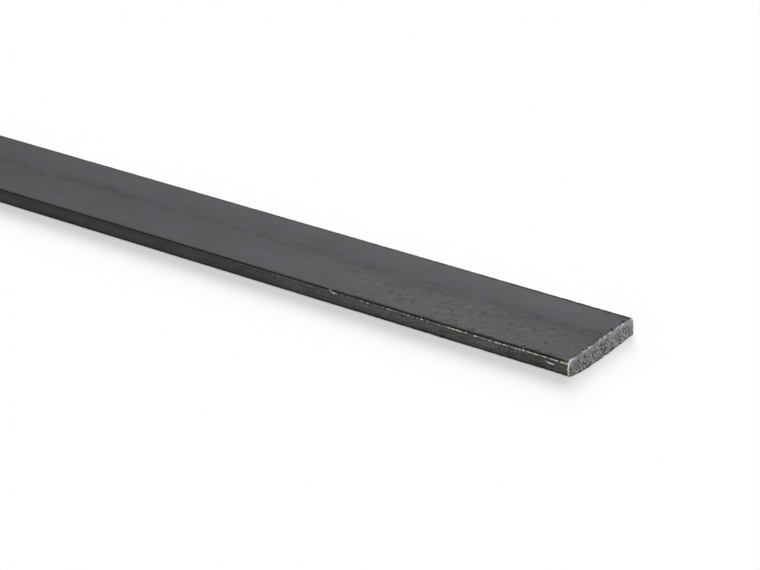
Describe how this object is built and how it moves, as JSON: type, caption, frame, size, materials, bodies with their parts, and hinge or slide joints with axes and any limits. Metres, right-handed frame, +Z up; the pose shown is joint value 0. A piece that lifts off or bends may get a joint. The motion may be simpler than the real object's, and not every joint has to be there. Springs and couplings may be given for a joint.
{
  "type": "hot-rolled steel flat bar",
  "caption": "Long flat bar of black hot-rolled steel with rounded rolled edges and sheared ends, lying flat.",
  "frame": {"origin": "middle of the underside's outline, on the surface that the bar lies on", "axes": "+X along the bar, +Y across its width, +Z up through its thickness"},
  "size_m": [1, 0.03, 0.004],
  "materials": {
    "scaled_steel": "semi-gloss dark mill scale, with paler torn steel on the sheared ends"
  },
  "bodies": {
    "root": {"flat_bar": "scaled_steel"}
  },
  "joints": []
}
